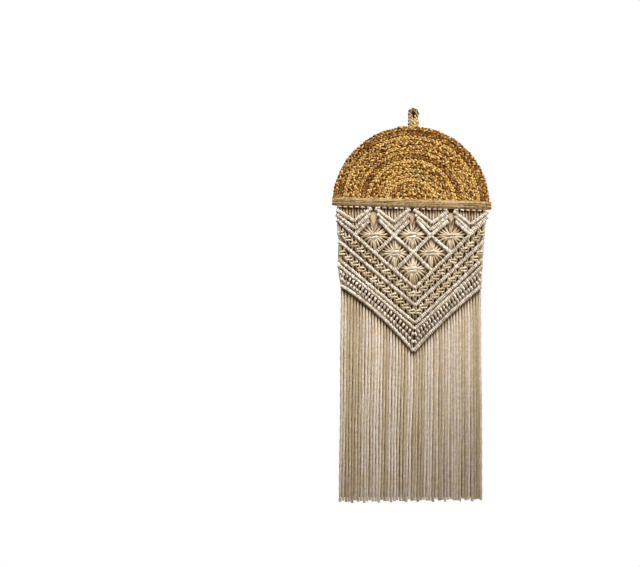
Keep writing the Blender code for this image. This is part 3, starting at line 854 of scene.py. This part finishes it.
rays = []
wraps = []
for n, diamond in enumerate(DIAMONDS):
    knot = Point(diamond.knot_x, diamond.knot_z)
    sides = (
        (diamond.upper_left, diamond.left, -1, 1),
        (diamond.upper_right, diamond.right, 1, 1),
        (diamond.bottom, diamond.left, -1, -1),
        (diamond.bottom, diamond.right, 1, -1),
    )
    for inner, outer, across, up in sides:
        inner, outer = LATTICE[inner], LATTICE[outer]
        for k, share in enumerate(RAY_SHARES):
            loose = noise.noise_vector(Vector((k * 1.3, n * 2.1, across + 0.5 * up)))
            share = min(0.90, max(0.01, share + 0.05 * loose.y))
            if k == 0 and up > 0 and diamond.upper_left != diamond.upper_right:
                share = END_RAY_SHARE
            x, z = between(inner.x, outer.x, share), between(inner.z, outer.z, share)
            root = Vector((x, RAY_ROOT_Y[up], z))
            hold = Vector((
                knot.x + across * between(1.2, 8.4, share), -1.8, knot.z + up * between(6.6, 0.9, share)
            ))
            bowed = Vector((across * (0.4 + 1.4 * share), 0, -up * 2.8 * share)) + 0.7 * loose
            rising = root.lerp(hold, 0.35) + bowed + Vector((0, 0.1 - 0.4 * (up < 0) - 1.2 * loose.y, 0))
            nearing = root.lerp(hold, 0.72) + bowed + Vector((0, -1.9 - 1.6 * loose.x, 0))
            inside = hold.lerp(Vector((knot.x, 0.6, knot.z)), 0.5)
            rays.append(Run([root, rising, nearing, hold, inside], RAY_RADII))
    for level, half_width in KNOT_WRAPS:
        ring = []
        for turn in turns(KNOT_CORNERS):
            x = half_width * math.cos(turn)
            y = KNOT_MIDDLE_Y - KNOT_DEPTH * math.sin(turn)
            ring.append(Vector((knot.x + x, y, knot.z + level + KNOT_RISE * x)))
        wraps.append(Run(ring, KNOT_WRAP))
settle(lay("sunburst_cords", rays, shaded_cotton, sides=9, step=2.4), "cotton_cord", "macrame_panel")
settle(lay("sunburst_knots", wraps, knotted_cotton, sides=8, closed=True), "cotton_cord", "macrame_panel")

# ---------------------------------------------------------------------------------------------
# Pair knots: between the first long bars every two cords are tied together, in a slanting row of
# small knots. Each knot has two crosswise wraps and a bump at its left, and holes above and below.

KNOTS_A_SIDE = 12
PIT_RISE = 8.8  # from a knot's middle to the holes above and below it
PIT_REACH = 3.9  # from a knot's middle line to its two cords, beside the holes
INNER_REACH = 1.7  # the same, in the knot
BAR_REACH = 2.6  # and at the bars
BEHIND_BAR_Y = 1.4
PAIR_ROUTE = (  # a reach, a depth and a height: by the upper hole, through the knot, by the lower hole
    (PIT_REACH, 0.6, PIT_RISE + 1.2), (PIT_REACH, -0.6, PIT_RISE - 1.6),
    (INNER_REACH, -0.6, 4.6), (INNER_REACH, 0.6, 0), (INNER_REACH, -0.6, -4.6),
    (PIT_REACH, -0.6, 1.6 - PIT_RISE), (PIT_REACH, 0.6, -PIT_RISE - 1.2),
)
PAIR_RADII = [1.4, 1.7, 1.9, 1.7, 1.5, 1.7, 1.9, 1.7, 1.4]  # the bars' ends first and last
PAIR_WRAPS = ((2.5, 0.30), (-2.6, 0.06))  # each one's height over the knot's middle, and its rise
PAIR_WRAP = 1.85
PAIR_HALF_WIDTH = 5.4
PAIR_DEPTH = 2.8
PAIR_CORNERS = 10
BUMP = 1.6
EDGE_CORDS = ((1.6, -0.4), (5.0, 0.8))  # how far in from the bars' ends, and how deep
EDGE_CORD = 1.9
EDGE_BULGE = 1.6  # by which they stand out halfway down


def edge_cords(above, below, side):
    """Two cords that hang from one bar's end to the next bar's, at the panel's edge."""
    (ux, uz), (lx, lz) = above(0.0), below(0.0)
    runs = []
    for inward, y in EDGE_CORDS:
        start, end = Vector((ux - side * inward, y, uz)), Vector((lx - side * inward, y, lz))
        middle = Vector(((ux + lx) / 2 - side * (inward - EDGE_BULGE), y - 0.8, (uz + lz) / 2))
        runs.append(Run([start, middle, end], EDGE_CORD))
    return runs


knot_cords = []
knot_wraps = []
for upper, lower, seed in ((LONG_BARS["a"], LONG_BARS["b"], 1.0), (LONG_BARS["b"], LONG_BARS["c1"], 2.0)):
    for side in (-1, 1):
        above, below = half_bar(upper, side), half_bar(lower, side)
        knot_cords += edge_cords(above, below, side)
        for n in range(KNOTS_A_SIDE):
            share = (n + 0.5) / KNOTS_A_SIDE
            (ux, uz), (lx, lz) = above(share), below(share)
            centre = Vector(((ux + lx) / 2, -0.8, (uz + lz) / 2))
            loose = noise.noise_vector(centre * 0.3 + Vector((0, seed, 0)))
            centre += Vector((0.7 * loose.x, 0, 0.7 * loose.z))
            for half in (-1, 1):
                start = Vector((ux + BAR_REACH * half, BEHIND_BAR_Y, uz))
                end = Vector((lx + BAR_REACH * half, BEHIND_BAR_Y, lz))
                route = [centre + Vector((reach * half, y, z)) for reach, y, z in PAIR_ROUTE]
                knot_cords.append(Run([start, *route, end], PAIR_RADII))
            for level, rise in PAIR_WRAPS:
                ring = []
                for turn in turns(PAIR_CORNERS):
                    x = PAIR_HALF_WIDTH * math.cos(turn)
                    height = level + (rise + 0.30 * loose.y) * x
                    ring.append(centre + Vector((x, -0.8 - PAIR_DEPTH * math.sin(turn), height)))
                knot_wraps.append(Run(ring, PAIR_WRAP * (1 + 0.15 * loose.x)))
            bump = []
            for turn in turns(WRAP_CORNERS):
                x = -PAIR_HALF_WIDTH + 0.4 * math.sin(turn)
                bump.append(centre + Vector((x, -1.6 - 1.6 * math.sin(turn), 0.6 + 1.9 * math.cos(turn))))
            knot_wraps.append(Run(bump, BUMP))
settle(lay("pair_knot_cords", knot_cords, shaded_cotton, step=3.0), "cotton_cord", "macrame_panel")
settle(lay("pair_knots", knot_wraps, shaded_cotton, closed=True), "cotton_cord", "macrame_panel")

# ---------------------------------------------------------------------------------------------
# Reverse hitches: the widest band is two more slanting rows of hitches that are tied from behind,
# so that each cord shows as an upright grain in each row, its foot leaning away from the middle.

GRAIN_ROWS = (0.29, 0.65)  # share of the way down from the upper bar
GRAIN_REACH = 1.8  # from a grain's middle to the middle of its wrap, up and down
GRAIN_DEPTH = 2.4  # the same, to the front and back
GRAIN_WRAP = 2.35
GRAIN_LEAN = 0.42
CROSSING = 0.46  # share of the way down where each cord crosses behind, to its next grain
CROSSING_REACH = 2.7  # outwards
GRAIN_CORD_RADII = [2.0, 2.2, 1.8, 2.2, 2.0]

grain_cords = []
grain_wraps = []
for side in (-1, 1):
    above, below = half_bar(LONG_BARS["c2"], side), half_bar(LONG_BARS["d"], side)
    grain_cords += edge_cords(above, below, side)
    for n in range(SIDE_CORDS):
        share = (n + 0.5) / SIDE_CORDS
        (ux, uz), (lx, lz) = above(share), below(share)
        for level in GRAIN_ROWS:
            loose = noise.noise_vector(Vector((ux, 9 * level, uz)) * 0.3)
            centre = Vector((between(ux, lx, level) + 0.7 * loose.x, -1.1, between(uz, lz, level) + loose.z))
            lean = side * (0.15 * loose.y - GRAIN_LEAN)
            ring = []
            for turn in turns(WRAP_CORNERS):
                height = GRAIN_REACH * math.cos(turn)
                ring.append(centre + Vector((lean * height, -0.6 - GRAIN_DEPTH * math.sin(turn), height)))
            grain_wraps.append(Run(ring, GRAIN_WRAP * (1 + 0.15 * loose.y)))
        crossing_x = between(ux, lx, CROSSING) + CROSSING_REACH * side
        route = (
            (ux, BEHIND_BAR_Y, uz), (between(ux, lx, 0.3), 1.2, between(uz, lz, 0.3)),
            (crossing_x, 0.9, between(uz, lz, CROSSING)),
            (between(ux, lx, 0.7), 1.2, between(uz, lz, 0.7)), (lx, BEHIND_BAR_Y, lz),
        )
        grain_cords.append(Run([Vector(point) for point in route], GRAIN_CORD_RADII))
settle(lay("grain_cords", grain_cords, knotted_cotton, step=3.0), "cotton_cord", "macrame_panel")
settle(lay("grain_wraps", grain_wraps, knotted_cotton, closed=True), "cotton_cord", "macrame_panel")

# ---------------------------------------------------------------------------------------------
# Fringe: the last long bar, tied like the others, and the cords that hang from it, cut off nearly
# level. They are the same cotton, soft twisted, and look warmer in each other's shade.

STRANDS = 48
FRINGE_BOTTOM_Z = -734.5
FRINGE_UNEVEN = 3.2  # by which the cut ends stand higher or lower
FRINGE_CLIMB = 4.0  # from the left end of the cut to the right
FRINGE_BOTTOM_X = (-138.6, 127.6)
ROOT_Y = 3.1  # behind the bar
ROOT_DROP = 9.0  # the cords come forward and fill out below this length under the bar
ROOT_RADII = [1.7, 1.7, 1.9]
STRAND = 2.68  # radius
STRAND_LUMPS = 0.45
ROOT_FULLNESS = 0.90  # how much of the radius a strand has at its root
TOP_FULLNESS = 1.11  # the same where it has filled out, from where it thins towards its end
THINNING = 0.13
FALL_STEPS = 13
SWAY = 1.1
FRINGE_TWIST = 90.0  # in which a strand turns once
FRINGE_FLATNESS = 0.70  # hanging side by side, the soft cords are wider than they are deep

hanging_cotton = cotton(
    "hanging_cotton",
    shade=(0.42, 0.325, 0.21, 1), body=(0.71, 0.57, 0.37, 1), light=(0.74, 0.635, 0.54, 1),
    front=-1.3, back=0.5, streaks=14.0, slanting=0.0,
)
fringe_wraps = []
for side in (-1, 1):
    fringe_wraps += hitches(half_bar(LONG_BARS["d"], side), SIDE_CORDS, 8.0 + side)
settle(lay("fringe_bar", fringe_wraps, knotted_cotton, closed=True), "cotton_cord", "cord_fringe")
fringe_core = [core(half_bar(LONG_BARS["d"], side)) for side in (-1, 1)]
settle(lay("fringe_bar_core", fringe_core, knotted_cotton, sides=8, step=8.0), "cotton_cord", "cord_fringe")
hanging = []
left, right = FRINGE_BOTTOM_X
for k in range(STRANDS):
    share = (k + 0.5) / STRANDS
    root_x, root_z = on_line(LONG_BARS["d"], 2 * share)
    end_x = between(left, right, k / (STRANDS - 1))
    uneven = FRINGE_UNEVEN * math.sin(2.1 * k) * math.cos(0.7 * k)
    end_z = FRINGE_BOTTOM_Z + uneven + FRINGE_CLIMB * (share - 0.5)
    points = [
        Vector((root_x, ROOT_Y, root_z)), Vector((root_x, ROOT_Y, root_z - 0.6 * ROOT_DROP)),
        Vector((root_x, 2.0, root_z - ROOT_DROP)),
    ]
    radii = list(ROOT_RADII)
    for step in range(FALL_STEPS + 1):
        fall = step / FALL_STEPS
        sway = SWAY * noise.noise(Vector((0.61 * k, 2.5 * fall, 0))) * min(1.0, 3 * fall)
        depth = (0.6 if step == 0 else 0.1) + 0.5 * noise.noise(Vector((1.9 * k, 1.6 * fall, 9)))
        z = between(root_z - ROOT_DROP - 3, end_z, fall)
        points.append(Vector((between(root_x, end_x, fall) + sway, depth, z)))
        fullness = ROOT_FULLNESS if step == 0 else TOP_FULLNESS - THINNING * fall
        radii.append(fullness * (STRAND + STRAND_LUMPS * noise.noise(Vector((2.3 * k, 2 * fall, 4)))))
    hanging.append(Run(points, radii))
fringe = lay(
    "fringe_cords", hanging, hanging_cotton, sides=12, step=5.0, lobes=4, relief=0.07,
    lay_length=FRINGE_TWIST,
)
for vertex in fringe.data.vertices:
    vertex.co.y *= FRINGE_FLATNESS
settle(fringe, "fringe_cord", "cord_fringe")
